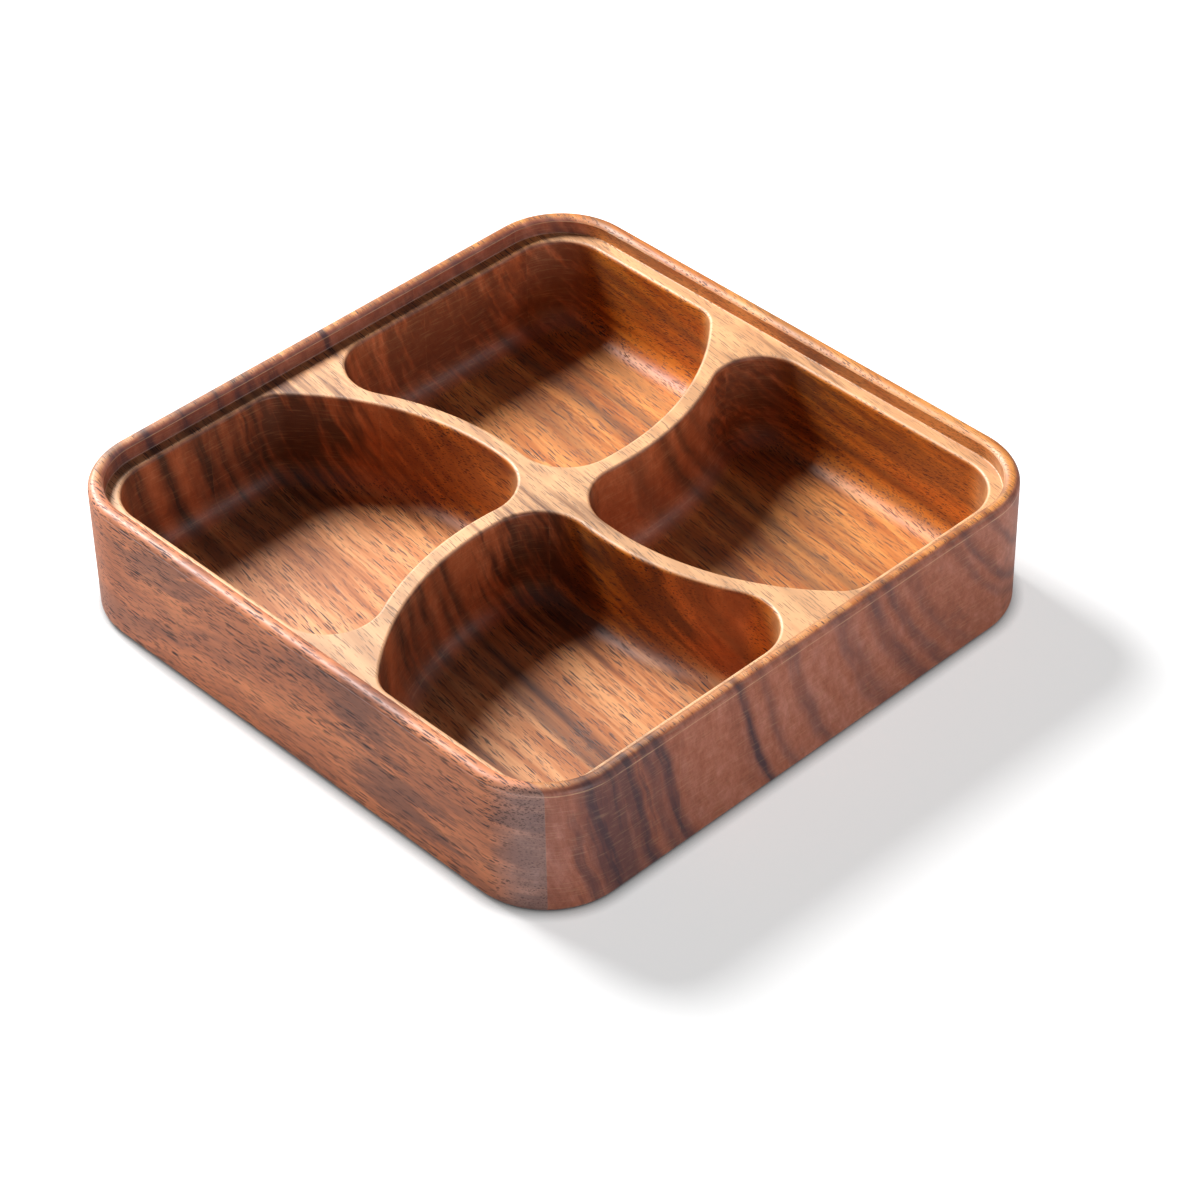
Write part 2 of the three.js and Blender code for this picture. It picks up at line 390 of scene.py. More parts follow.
class CarvedSkin:
    """A closed surface of swept sections and flat caps that keeps the true facing at each face corner."""

    FACING = "facing"
    # Per-vertex strength of the painted highlight line on crisp edges.
    ARRIS = "arris"
    SAME_PLACE = 1e-8

    def __init__(self, mesh: bmesh.types.BMesh | None = None) -> None:
        """Starts an empty skin, or takes over the mesh of another.

        Args:
            mesh: A mesh that already has the skin's layers, or None.
        """
        self.mesh = bmesh.new() if mesh is None else mesh
        if mesh is None:
            self.mesh.loops.layers.float_vector.new(self.FACING)
            self.mesh.verts.layers.float.new(self.ARRIS)
        self.facing = self.mesh.loops.layers.float_vector[self.FACING]
        self.arris = self.mesh.verts.layers.float[self.ARRIS]
        self._rings: dict[tuple[str, int, int], list[Vert]] = {}

    def ring(self, outline: PlanOutline, at: SectionPoint) -> list[Vert]:
        """The vertices of an outline at a section point, made once.

        Args:
            outline: The outline.
            at: The section point.

        Returns:
            One vertex for each point of the outline.
        """
        key = (outline.name, round(at.inset / self.SAME_PLACE), round(at.height / self.SAME_PLACE))
        if key not in self._rings:
            self._rings[key] = [self.mesh.verts.new(place) for place in outline.ring(at)]
        for vert in self._rings[key]:
            vert[self.arris] = max(vert[self.arris], at.arris)
        return self._rings[key]

    def sweep(self, outline: PlanOutline, run: list[SectionPoint]) -> list[list[Vert]]:
        """Sweeps one smooth run of a section along an outline.

        Args:
            outline: The outline.
            run: The run's section points in order.

        Returns:
            The rings of vertices in order.
        """
        rings = [self.ring(outline, at) for at in run]
        count = len(outline.points)
        for step in range(len(run) - 1):
            if rings[step] is rings[step + 1]:
                continue
            for i in range(count):
                j = (i + 1) % count
                corners = ((step, i), (step, j), (step + 1, j), (step + 1, i))
                face = self.mesh.faces.new([rings[s][k] for s, k in corners])
                face.smooth = True
                for loop, (s, k) in zip(face.loops, corners):
                    across, up = run[s].facing
                    loop[self.facing] = Vector((*(outline.points[k].inward * across), up))
        return rings

    def cap(self, rings: list[list[Vert]], facing: Vector) -> None:
        """Closes one or more rings in a plane; the first is the outside and the rest are holes.

        Args:
            rings: Rings of vertices.
            facing: The way that the flat face looks.
        """
        verts = [vert for ring in rings for vert in ring]
        for corner in tessellate_polygon([[vert.co for vert in ring] for ring in rings]):
            self._flat_face([verts[i] for i in corner], facing)

    def _flat_face(self, verts: list[Vert], facing: Vector) -> None:
        """Adds one flat face.

        Args:
            verts: Its corners in order.
            facing: The way that it looks.
        """
        face = self.mesh.faces.new(verts)
        face.normal_update()
        self._settle(face, facing)

    def _settle(self, face: bmesh.types.BMFace, facing: Vector) -> None:
        """Turns a flat face the right way round and gives its corners that facing.

        Args:
            face: The face.
            facing: The way that it looks.
        """
        if face.normal.dot(facing) < 0:
            face.normal_flip()
        face.smooth = True
        for loop in face.loops:
            loop[self.facing] = facing

    def between(self, front: float | None, back: float | None) -> "CarvedSkin":
        """The closed part of the skin between two upright joint planes.

        Args:
            front: Y of the front joint, or None at the tray's front.
            back: Y of the back joint, or None at the tray's back.

        Returns:
            A new closed skin.
        """
        part = CarvedSkin(self.mesh.copy())
        for at, facing in ((front, Vector((0, -1, 0))), (back, Vector((0, 1, 0)))):
            if at is not None:
                part._trim(at, facing)
        return part

    def _trim(self, at: float, facing: Vector) -> None:
        """Cuts the skin at a joint plane and closes it there.

        Args:
            at: Y of the joint.
            facing: The way that the new face looks.
        """
        geometry = [*self.mesh.verts, *self.mesh.edges, *self.mesh.faces]
        cut = bmesh.ops.bisect_plane(
            self.mesh,
            geom=geometry,
            dist=self.SAME_PLACE,
            plane_co=(0, at, 0),
            plane_no=facing,
            clear_outer=True,
        )["geom_cut"]
        edges = [item for item in cut if isinstance(item, bmesh.types.BMEdge)]
        filled = bmesh.ops.triangle_fill(self.mesh, use_beauty=True, use_dissolve=False, edges=edges)
        for item in filled["geom"]:
            if isinstance(item, bmesh.types.BMFace):
                item.normal_update()
                self._settle(item, facing)

    def to_object(self, name: str) -> bpy.types.Object:
        """Turns the skin into an object in the scene, with the true facings as its normals.

        Args:
            name: Name of the piece.

        Returns:
            The new object.
        """
        mesh = bpy.data.meshes.new(name)
        self.mesh.to_mesh(mesh)
        facings = [0.0] * (3 * len(mesh.loops))
        mesh.attributes[self.FACING].data.foreach_get("vector", facings)
        normals = [Vector(facings[i : i + 3]).normalized() for i in range(0, len(facings), 3)]
        mesh.attributes.remove(mesh.attributes[self.FACING])
        mesh.normals_split_custom_set(normals)
        piece = bpy.data.objects.new(name, mesh)
        bpy.context.scene.collection.objects.link(piece)
        return piece


# Shader sheets


@dataclass(frozen=True)
class Ripple:
    """A noise: its waves to the metre along each axis, its finer layers and their strength."""

    waves: Triple
    detail: float = 2.0
    roughness: float = 0.6


class NodeSheet:
    """A node tree with short ways to place and join its nodes."""

    NOISE_MIDDLE = 0.5

    def __init__(self, tree: Tree) -> None:
        """Takes the tree that the nodes go into."""
        self.tree = tree

    def node(self, kind: str, **settings: object) -> bpy.types.Node:
        """Places a node.

        Args:
            kind: The node's type name after "ShaderNode".
            settings: Properties of the node.

        Returns:
            The new node.
        """
        made = self.tree.nodes.new(f"ShaderNode{kind}")
        for key, value in settings.items():
            setattr(made, key, value)
        return made

    def feed(self, socket: Socket, value: Source | Colour) -> None:
        """Joins an output to a socket, or sets the socket's own value.

        Args:
            socket: The socket.
            value: The output, or a number, vector or colour.
        """
        if isinstance(value, Socket):
            self.tree.links.new(value, socket)
        elif isinstance(value, tuple) and socket.type == "RGBA":
            socket.default_value = (*value, 1.0)
        else:
            socket.default_value = value

    def fed(self, made: bpy.types.Node, *values: Source | Colour) -> bpy.types.Node:
        """Feeds a node's first inputs in order.

        Args:
            made: The node.
            values: What goes into its inputs.

        Returns:
            The same node.
        """
        for socket, value in zip(made.inputs, values):
            self.feed(socket, value)
        return made

    def math(self, operation: str, first: Source, second: Source = 0.0) -> Socket:
        """The result of a sum on two values."""
        return self.fed(self.node("Math", operation=operation), first, second).outputs[0]

    def total(self, *terms: Source) -> Socket:
        """The sum of two or more values."""
        return reduce(partial(self.math, "ADD"), terms)

    def product(self, *factors: Source) -> Socket:
        """The product of two or more values."""
        return reduce(partial(self.math, "MULTIPLY"), factors)

    def weighted(self, *pairs: tuple[Source, float]) -> Socket:
        """The sum of values that each come with a weight."""
        return self.total(*(self.product(value, weight) for value, weight in pairs))

    def distance(self, first: Source, second: Source) -> Socket:
        """The length of the way that goes so far along two axes."""
        return self.math("SQRT", self.total(self.product(first, first), self.product(second, second)))

    def vector(self, operation: str, first: Source, second: Source | Colour) -> Socket:
        """The result of a sum on two vectors."""
        return self.fed(self.node("VectorMath", operation=operation), first, second).outputs[0]

    def split(self, vector: Socket) -> tuple[Socket, ...]:
        """The X, Y and Z of a vector."""
        return tuple(self.fed(self.node("SeparateXYZ"), vector).outputs)

    def join(self, x: Source, y: Source, z: Source) -> Socket:
        """The vector of three values."""
        return self.fed(self.node("CombineXYZ"), x, y, z).outputs[0]

    def ramp(
        self, value: Source, low: float, high: float, start: Source = 0.0, end: Source = 1.0
    ) -> Socket:
        """A smooth step from one value to another.

        Args:
            value: The value that is stepped on.
            low: Where the step starts.
            high: Where the step ends.
            start: Result at and before the start.
            end: Result at and after the end.

        Returns:
            The stepped value.
        """
        made = self.node("MapRange", interpolation_type="SMOOTHSTEP")
        return self.fed(made, value, low, high, start, end).outputs["Result"]

    def blend(
        self, share: Source, first: Source | Colour, second: Source | Colour, kind: str = "MIX"
    ) -> Socket:
        """A mix of two colours.

        Args:
            share: Share of the second colour.
            first: First colour.
            second: Second colour.
            kind: The way that they are mixed.

        Returns:
            The mixed colour.
        """
        made = self.node("Mix", data_type="RGBA", blend_type=kind, clamp_factor=True)
        self.feed(made.inputs["Factor"], share)
        self.feed(made.inputs[6], first)
        self.feed(made.inputs[7], second)
        return made.outputs[2]

    def noise(self, position: Source, ripple: Ripple) -> bpy.types.Node:
        """A noise over a position.

        Args:
            position: The position.
            ripple: Its waves and their detail.

        Returns:
            The noise node.
        """
        made = self.node("TexNoise", noise_dimensions="3D", normalize=True)
        self.feed(made.inputs["Vector"], self.vector("MULTIPLY", position, ripple.waves))
        made.inputs["Scale"].default_value = 1.0
        made.inputs["Detail"].default_value = ripple.detail
        made.inputs["Roughness"].default_value = ripple.roughness
        return made

    def sway(self, position: Source, ripple: Ripple) -> Socket:
        """A noise about a middle of nought."""
        return self.math("SUBTRACT", self.noise(position, ripple).outputs["Fac"], self.NOISE_MIDDLE)

    def uses(self, group: Tree, **inputs: Source | Colour) -> tuple[Socket, ...]:
        """Places a node group and feeds its inputs.

        Args:
            group: The group.
            inputs: Values by the input's name, with underscores for spaces.

        Returns:
            The group's outputs in order.
        """
        made = self.node("Group", node_tree=group)
        for name, value in inputs.items():
            self.feed(made.inputs[name.replace("_", " ")], value)
        return tuple(made.outputs)

    def use(self, group: Tree, **inputs: Source | Colour) -> Socket:
        """The first output of a node group that is placed and fed."""
        return self.uses(group, **inputs)[0]


GroupParts = tuple[NodeSheet, dict[str, Socket]]
Stops = tuple[tuple[float, float], ...]


@dataclass(frozen=True)
class BandGap:
    """A stretch of the log where some growth bands are faint: radii, places along X, and the loss."""

    inner: float
    outer: float
    start: float
    end: float
    loss: float


class WoodEffects:
    """The shader node groups that the boards' materials share, each built once."""

    VECTORS = ("Position", "Rings", "Middle", "Reach")

    # Growth bands of the log: radius in millimetres and darkness, from the pith outwards
    INNER_BANDS = (
        (58, 0.10), (63, 0.40), (66, 0.12), (71, 0.15), (74, 0.55), (77, 0.15), (82, 0.15), (86, 0.65),
        (88.5, 0.20), (91, 0.45), (94, 0.12), (106, 0.12), (111, 0.45), (115, 0.15), (120, 0.65),
        (123, 0.20), (127.5, 0.70), (134, 0.12), (143, 0.55), (149, 0.10),
    )
    OUTER_BANDS = (
        (149, 0.10), (160, 0.12), (165, 0.60), (170, 0.10), (175, 0.10), (179, 0.50), (182, 0.10),
        (185, 0.15), (188.5, 1.00), (191, 0.30), (198, 0.10), (212, 0.14), (219, 0.20), (224, 1.00),
        (226, 0.55), (229, 0.85), (233, 0.25), (237, 0.95), (241, 0.50), (245, 0.85), (248, 0.60),
        (252, 1.00), (257, 0.55), (262, 0.20), (268, 0.95), (274, 0.20), (281, 0.95), (290, 0.30),
    )
    BAND_START = 58 * MM
    BAND_MIDDLE = 149 * MM
    BAND_END = 300 * MM
    BAND_GAPS = (
        BandGap(200 * MM, 330 * MM, -80 * MM, -4 * MM, 0.9),
        BandGap(180 * MM, 200 * MM, -70 * MM, 100 * MM, 0.5),
        BandGap(260 * MM, 330 * MM, 60 * MM, 200 * MM, 0.9),
        BandGap(233 * MM, 262 * MM, 22 * MM, 98 * MM, 0.75),
    )
    GAP_EDGES = (4 * MM, 14 * MM)

    # Arches of the flat-sawn strip: place along X and height of a growth line, in millimetres
    ARCHES = (
        (-120, 10.0), (-97, 5.0), (-80, 1.0), (-60, 5.0), (-40, 12.0), (-28, 14.0), (0, 14.0),
        (80, 10.0), (120, 8.0),
    )
    ARCH_START = -120 * MM
    ARCH_END = 120 * MM
    ARCH_HEIGHT = 14.0

    ROUND_RADIUS = 180 * MM
    ROUND_STRETCH = 7.0
    MARK_TILT = math.radians(2)

    # Noises, by what they break up
    RING_SWAY = Ripple((9.0, 34.0, 34.0), 3.0, 0.55)
    ARCH_SWAY = Ripple((17.0, 30.0, 22.0), 2.0, 0.5)
    PORE_ROWS = Ripple((16.0, 170.0, 30.0))
    FIBRES = Ripple((1.0, 1.0, 1.0), 3.0)
    CLOUDS = Ripple((16.0, 60.0, 30.0), 3.0)
    SANDING = Ripple((60.0, 130.0, 1700.0))
    MOTTLE = Ripple((150.0, 200.0, 150.0), 6.0, 0.75)
    ARRIS_BREAKS = Ripple((160.0, 160.0, 160.0))
    GLUE_BREAKS = Ripple((500.0, 500.0, 500.0))

    # Soft steps: where each starts and ends, then its results there if they aren't nought and one
    PATCH_EDGE = (0.3, 1.3)
    PORE_GIRTHS = (0.0, 1.0, 0.55, 1.2)
    PORE_EDGE = (0.65, 1.0, 1.0, 0.0)
    ROW_EDGE = (0.38, 0.6)
    CLOUD_EDGE = (-0.06, 0.14)
    END_FACING = (0.08, 0.6)
    LEFT_FACING = (-0.1, 0.1, 1.0, 0.0)
    POCKET_REACH = (21.0 * MM, 23.5 * MM, 1.0, 0.0)
    FRONT_FACING = (-0.8, -0.2, 1.0, 0.0)
    # Painted sheen on the tops: faint on the -X seat, which lies in the rim's shade, and only where the
    # surface looks up.
    SEAT_LEFT = (-112.0 * MM, -106.0 * MM, 0.15, 1.0)
    SEAT_RISE = (44.0 * MM, 45.6 * MM, 0.0)
    SEAT_TOP = (46.2 * MM, 47.0 * MM, 1.0, 0.0)
    SEAT_FACING = (0.5, 0.9)
    RIM_RISE = (48.0 * MM, 49.5 * MM, 0.0)
    RIM_FACING = (0.15, 0.6)
    TRAY_DEPTH = (-100.0 * MM, 100.0 * MM)
    # Painted highlight lines on the crisp edges, and the gaps in them.
    ARRIS_EDGE = (0.2, 0.9)
    ARRIS_GAPS = (0.3, 0.6, 0.35, 1.0)
    GLUE_EDGE = (0.3, 1.0, 1.0, 0.0)
    GLUE_GAPS = (0.42, 0.58, 0.1, 1.0)

    # Share of the heartwood clouds: their level at no share, and how far a full share lowers it
    CLOUD_LEVEL = 0.72
    CLOUD_SPREAD = 0.4

    def __init__(self) -> None:
        """Builds the groups."""
        self.rings = self._ring_space()
        self.arches = self._arch_space()
        self.bands = self._growth_bands()
        self.patch_spec = self._soft_dark_patch()
        self.pores = self._pore_dashes()
        self.rows = self._pore_rows()
        self.fibres = self._fibre_streaks()
        self.clouds = self._clouds()
        self.ends = self._end_grain()
        self.arris = self._arris_highlight()
        self.glue = self._glue_line()
        self.walls = self._pocket_walls()
        self.top_sheen = self._painted_top_sheen()
        self.across = self._front_to_back()

    def _group(self, name: str, inputs: tuple[str, ...], outputs: tuple[str, ...]) -> GroupParts:
        """Starts a group with named sockets.

        Args:
            name: Name of the group.
            inputs: Names of its inputs.
            outputs: Names of its outputs.

        Returns:
            The group's sheet, and its inputs by their names.
        """
        tree = bpy.data.node_groups.new(name, "ShaderNodeTree")
        for way, names in (("INPUT", inputs), ("OUTPUT", outputs)):
            for socket in names:
                kind = "NodeSocketVector" if socket in self.VECTORS else "NodeSocketFloat"
                tree.interface.new_socket(name=socket, in_out=way, socket_type=kind)
        given = tree.nodes.new("NodeGroupInput")
        return NodeSheet(tree), {socket.name: socket for socket in given.outputs}

    def _closed(self, sheet: NodeSheet, **results: Source) -> Tree:
        """Feeds the outputs of a group.

        Args:
            sheet: The group's sheet.
            results: What goes into each output, by its name.

        Returns:
            The group.
        """
        result = sheet.tree.nodes.new("NodeGroupOutput")
        for name, value in results.items():
            sheet.feed(result.inputs[name], value)
        return sheet.tree

    def _facing(self, sheet: NodeSheet) -> tuple[Socket, ...]:
        """The X, Y and Z of the way that the surface looks."""
        return sheet.split(sheet.node("NewGeometry").outputs["Normal"])

    def _ring_space(self) -> Tree:
        """The place in the log: along the grain, out from a leaning pith line, and round it.

        Returns:
            The group.
        """
        inputs = ("Position", "Pith Y", "Pith Z", "Lean", "Waver")
        sheet, given = self._group("ring_space", inputs, ("Rings",))
        x, y, z = sheet.split(given["Position"])
        noise = sheet.noise(given["Position"], self.RING_SWAY).outputs["Color"]
        sway = sheet.split(sheet.vector("SUBTRACT", noise, (sheet.NOISE_MIDDLE,) * 3))
        leaned = sheet.total(y, sheet.product(x, given["Lean"]))
        across = sheet.math("SUBTRACT", leaned, given["Pith Y"])
        across = sheet.total(across, sheet.product(sway[0], given["Waver"]))
        up = sheet.math("SUBTRACT", z, given["Pith Z"])
        up = sheet.total(up, sheet.product(sway[1], given["Waver"]))
        turn = sheet.math("ARCTAN2", up, sheet.product(across, -1.0))
        around = sheet.product(turn, self.ROUND_RADIUS)
        return self._closed(sheet, Rings=sheet.join(x, sheet.distance(across, up), around))

    def _chart(
        self, sheet: NodeSheet, value: Source, stops: Stops, low: float, high: float
    ) -> Socket:
        """A value that is read off a chart of eased stops.

        Args:
            sheet: The group's sheet.
            value: The place on the chart, in metres.
            stops: Place in millimetres and reading from nought to one.
            low: Where the chart starts, in metres.
            high: Where it ends, in metres.

        Returns:
            The reading.
        """
        chart = sheet.node("ValToRGB")
        chart.color_ramp.interpolation = "EASE"
        along = sheet.math("DIVIDE", sheet.math("SUBTRACT", value, low), high - low)
        sheet.feed(chart.inputs["Fac"], along)
        marks = chart.color_ramp.elements
        while len(marks) > 1:
            marks.remove(marks[-1])
        for number, (millimetres, reading) in enumerate(stops):
            at = (millimetres * MM - low) / (high - low)
            mark = marks[0] if number == 0 else marks.new(at)
            mark.position = at
            mark.color = (reading, reading, reading, 1.0)
        return chart.outputs["Color"]

    def _arch_space(self) -> Tree:
        """The place in the flat-sawn strip: along the grain, across its arches, and into the strip.

        Returns:
            The group.
        """
        sheet, given = self._group("arch_space", ("Position", "Sway"), ("Rings",))
        x, y, z = sheet.split(given["Position"])
        stops = tuple((place, height / self.ARCH_HEIGHT) for place, height in self.ARCHES)
        rise = self._chart(sheet, x, stops, self.ARCH_START, self.ARCH_END)
        sway = sheet.product(sheet.sway(given["Position"], self.ARCH_SWAY), given["Sway"])
        across = sheet.total(z, sheet.product(rise, -self.ARCH_HEIGHT * MM), sway)
        return self._closed(sheet, Rings=sheet.join(x, across, y))

    def _growth_bands(self) -> Tree:
        """Dark growth bands by their radius in the log, which come and go along the grain.

        Returns:
            The group.
        """
        sheet, given = self._group("growth_bands", ("Rings",), ("Band",))
        x, radius, _ = sheet.split(given["Rings"])
        inner = self._chart(sheet, radius, self.INNER_BANDS, self.BAND_START, self.BAND_MIDDLE)
        outer = self._chart(sheet, radius, self.OUTER_BANDS, self.BAND_MIDDLE, self.BAND_END)
        band = sheet.math("MAXIMUM", inner, outer)
        across_edge, along_edge = self.GAP_EDGES
        for gap in self.BAND_GAPS:
            inside = sheet.product(
                self._within(sheet, radius, gap.inner, gap.outer, across_edge),
                self._within(sheet, x, gap.start, gap.end, along_edge),
            )
            band = sheet.product(band, sheet.math("SUBTRACT", 1.0, sheet.product(inside, gap.loss)))
        return self._closed(sheet, Band=band)

    def _within(self, sheet: NodeSheet, value: Socket, low: float, high: float, edge: float) -> Socket:
        """One where a value lies between two limits, with soft edges.

        Args:
            sheet: The group's sheet.
            value: The value.
            low: Lower limit.
            high: Upper limit.
            edge: Half the width of each soft edge.

        Returns:
            The mask.
        """
        above = sheet.ramp(value, low - edge, low + edge)
        return sheet.product(above, sheet.ramp(value, high - edge, high + edge, 1.0, 0.0))

    def _soft_dark_patch(self) -> Tree:
        """One soft dark patch with a frayed edge, of heartwood in most places and of painted shade in
        some.

        Returns:
            The group.
        """
        inputs = ("Position", "Middle", "Reach", "Streak", "Fray", "Depth")
        sheet, given = self._group("soft_dark_patch", inputs, ("Mask",))
        away = sheet.vector("SUBTRACT", given["Position"], given["Middle"])
        size = sheet.node("VectorMath", operation="LENGTH")
        sheet.feed(size.inputs[0], sheet.vector("DIVIDE", away, given["Reach"]))
        frayed = sheet.total(size.outputs["Value"], sheet.product(given["Streak"], given["Fray"]))
        return self._closed(sheet, Mask=sheet.ramp(frayed, *self.PATCH_EDGE, given["Depth"], 0.0))

    def _pore_dashes(self) -> Tree:
        """Short dark vessels that lie along the grain.

        Returns:
            The group.
        """
        inputs = ("Rings", "Length", "Spacing", "Size", "Share")
        sheet, given = self._group("pore_dashes", inputs, ("Mask",))
        fine = sheet.math("DIVIDE", 1.0, given["Spacing"])
        scale = sheet.join(sheet.math("DIVIDE", 1.0, given["Length"]), fine, fine)
        cells = sheet.node("TexVoronoi", voronoi_dimensions="3D", feature="F1", distance="EUCLIDEAN")
        sheet.feed(cells.inputs["Vector"], sheet.vector("MULTIPLY", given["Rings"], scale))
        cells.inputs["Scale"].default_value = 1.0
        cells.inputs["Randomness"].default_value = 1.0
        luck = sheet.fed(sheet.node("SeparateColor"), cells.outputs["Color"])
        girth = sheet.product(given["Size"], sheet.ramp(luck.outputs["Green"], *self.PORE_GIRTHS))
        depth = sheet.math("DIVIDE", cells.outputs["Distance"], girth)
        kept = sheet.math("LESS_THAN", luck.outputs["Red"], given["Share"])
        return self._closed(sheet, Mask=sheet.product(sheet.ramp(depth, *self.PORE_EDGE), kept))

    def _pore_rows(self) -> Tree:
        """Rows along the grain where the pores crowd together.

        Returns:
            The group.
        """
        sheet, given = self._group("pore_rows", ("Rings", "Crowding"), ("Crowd",))
        rows = sheet.noise(given["Rings"], self.PORE_ROWS).outputs["Fac"]
        least = sheet.math("SUBTRACT", 1.0, given["Crowding"])
        return self._closed(sheet, Crowd=sheet.ramp(rows, *self.ROW_EDGE, least, 1.0))

    def _fibre_streaks(self) -> Tree:
        """Light and dark streaks along the grain that follow the rings, about a middle of nought.

        Returns:
            The group.
        """
        sheet, given = self._group("fibre_streaks", ("Rings", "Fineness", "Stretch"), ("Streak",))
        fine = given["Fineness"]
        along = sheet.math("DIVIDE", fine, given["Stretch"])
        scale = sheet.join(along, fine, sheet.math("DIVIDE", fine, self.ROUND_STRETCH))
        scaled = sheet.vector("MULTIPLY", given["Rings"], scale)
        return self._closed(sheet, Streak=sheet.sway(scaled, self.FIBRES))

    def _clouds(self) -> Tree:
        """Broad soft patches of darker heartwood.

        Returns:
            The group.
        """
        sheet, given = self._group("heart_clouds", ("Rings", "Share"), ("Cloud",))
        noise = sheet.noise(given["Rings"], self.CLOUDS).outputs["Fac"]
        spread = sheet.product(given["Share"], self.CLOUD_SPREAD)
        lift = sheet.math("SUBTRACT", noise, sheet.math("SUBTRACT", self.CLOUD_LEVEL, spread))
        return self._closed(sheet, Cloud=sheet.ramp(lift, *self.CLOUD_EDGE))

    def _end_grain(self) -> Tree:
        """Where a surface cuts across the grain or looks left, its mottle and the fine marks of sanding.

        Returns:
            The group.
        """
        sheet, given = self._group("end_grain", ("Position",), ("End", "Left", "Mottle", "Marks"))
        facing = self._facing(sheet)
        end = sheet.ramp(sheet.math("ABSOLUTE", facing[0]), *self.END_FACING)
        tilt = sheet.node("VectorRotate", rotation_type="X_AXIS")
        sheet.feed(tilt.inputs["Vector"], given["Position"])
        tilt.inputs["Angle"].default_value = self.MARK_TILT
        marks = sheet.noise(tilt.outputs[0], self.SANDING).outputs["Fac"]
        mottle = sheet.sway(given["Position"], self.MOTTLE)
        return self._closed(
            sheet,
            End=end,
            Left=sheet.ramp(facing[0], *self.LEFT_FACING),
            Mottle=sheet.product(mottle, end),
            Marks=sheet.product(marks, end),
        )

    def _pocket_walls(self) -> Tree:
        """What lies inside the pockets, and the walls there that face the front, which get painted orange
        bounce light.

        Returns:
            The group.
        """
        sheet, given = self._group("pocket_walls", ("Position",), ("Inside", "Front"))
        x, y, _ = sheet.split(given["Position"])
        flat = TrayForm.side / 2 - TrayForm.corner_radius
        reach = [
            sheet.math("MAXIMUM", sheet.math("SUBTRACT", sheet.math("ABSOLUTE", way), flat), 0.0)
            for way in (x, y)
        ]
        inside = sheet.ramp(sheet.distance(*reach), *self.POCKET_REACH)
        front = sheet.ramp(self._facing(sheet)[1], *self.FRONT_FACING)
        return self._closed(sheet, Inside=inside, Front=sheet.product(inside, front))

    def _painted_top_sheen(self) -> Tree:
        """Where a pale sheen is painted on the tops: the lid's seat with the dividers, and the rim; faint
        on the -X seat, in the rim's shade.

        Returns:
            The group.
        """
        sheet, given = self._group("painted_top_sheen", ("Position", "Seat", "Rim"), ("Mask",))
        x, _, height = sheet.split(given["Position"])
        up = self._facing(sheet)[2]
        seat = sheet.product(
            sheet.ramp(x, *self.SEAT_LEFT),
            sheet.ramp(height, *self.SEAT_RISE, given["Seat"]),
            sheet.ramp(height, *self.SEAT_TOP),
            sheet.ramp(up, *self.SEAT_FACING),
        )
        rim = sheet.product(
            sheet.ramp(height, *self.RIM_RISE, given["Rim"]), sheet.ramp(up, *self.RIM_FACING)
        )
        return self._closed(sheet, Mask=sheet.total(seat, rim))

    def _front_to_back(self) -> Tree:
        """How far a place lies from the front of the tray to the back.

        Returns:
            The group.
        """
        sheet, given = self._group("front_to_back", ("Position",), ("Share",))
        return self._closed(sheet, Share=sheet.ramp(sheet.split(given["Position"])[1], *self.TRAY_DEPTH))

    def _arris_highlight(self) -> Tree:
        """Painted highlight lines on the crisp edges, broken here and there.

        Returns:
            The group.
        """
        sheet, given = self._group("arris_highlight", ("Position",), ("Mask",))
        mark = sheet.node("Attribute", attribute_name=CarvedSkin.ARRIS)
        breaks = sheet.noise(given["Position"], self.ARRIS_BREAKS).outputs["Fac"]
        broken = sheet.ramp(breaks, *self.ARRIS_GAPS)
        line = sheet.ramp(mark.outputs["Fac"], *self.ARRIS_EDGE)
        return self._closed(sheet, Mask=sheet.product(line, broken))

    def _glue_line(self) -> Tree:
        """The hair line at a board's two glued joints, in broken specks.

        Returns:
            The group.
        """
        sheet, given = self._group("glue_line", ("Position", "Front", "Back", "Width"), ("Mask",))
        y = sheet.split(given["Position"])[1]
        front, back = (
            sheet.math("ABSOLUTE", sheet.math("SUBTRACT", y, given[side])) for side in ("Front", "Back")
        )
        gap = sheet.math("DIVIDE", sheet.math("MINIMUM", front, back), given["Width"])
        breaks = sheet.noise(given["Position"], self.GLUE_BREAKS).outputs["Fac"]
        broken = sheet.ramp(breaks, *self.GLUE_GAPS)
        return self._closed(sheet, Mask=sheet.product(sheet.ramp(gap, *self.GLUE_EDGE), broken))


# Finishes


@dataclass(frozen=True)
class DashLayer:
    """One size of pore: length and spacing in metres, size in its cell, share and depth."""

    length: float
    spacing: float
    size: float
    share: float
    depth: float


@dataclass(frozen=True)
class StreakLayer:
    """One size of streak: waves to the metre across the rings, stretch along the grain, and weight."""

    fineness: float
    stretch: float
    weight: float


@dataclass(frozen=True)
class DarkPatch:
    """A soft dark patch, of heartwood in most places and of painted shade in some: its middle and its
    reach in metres, and its depth.
    """

    middle: Triple
    reach: Triple
    depth: float


@dataclass(frozen=True)
class BoardPlace:
    """Where a board lies in the tray: its joints, and the shift and tone of its own figure."""

    front: float
    back: float
    shift: Triple
    tone: float


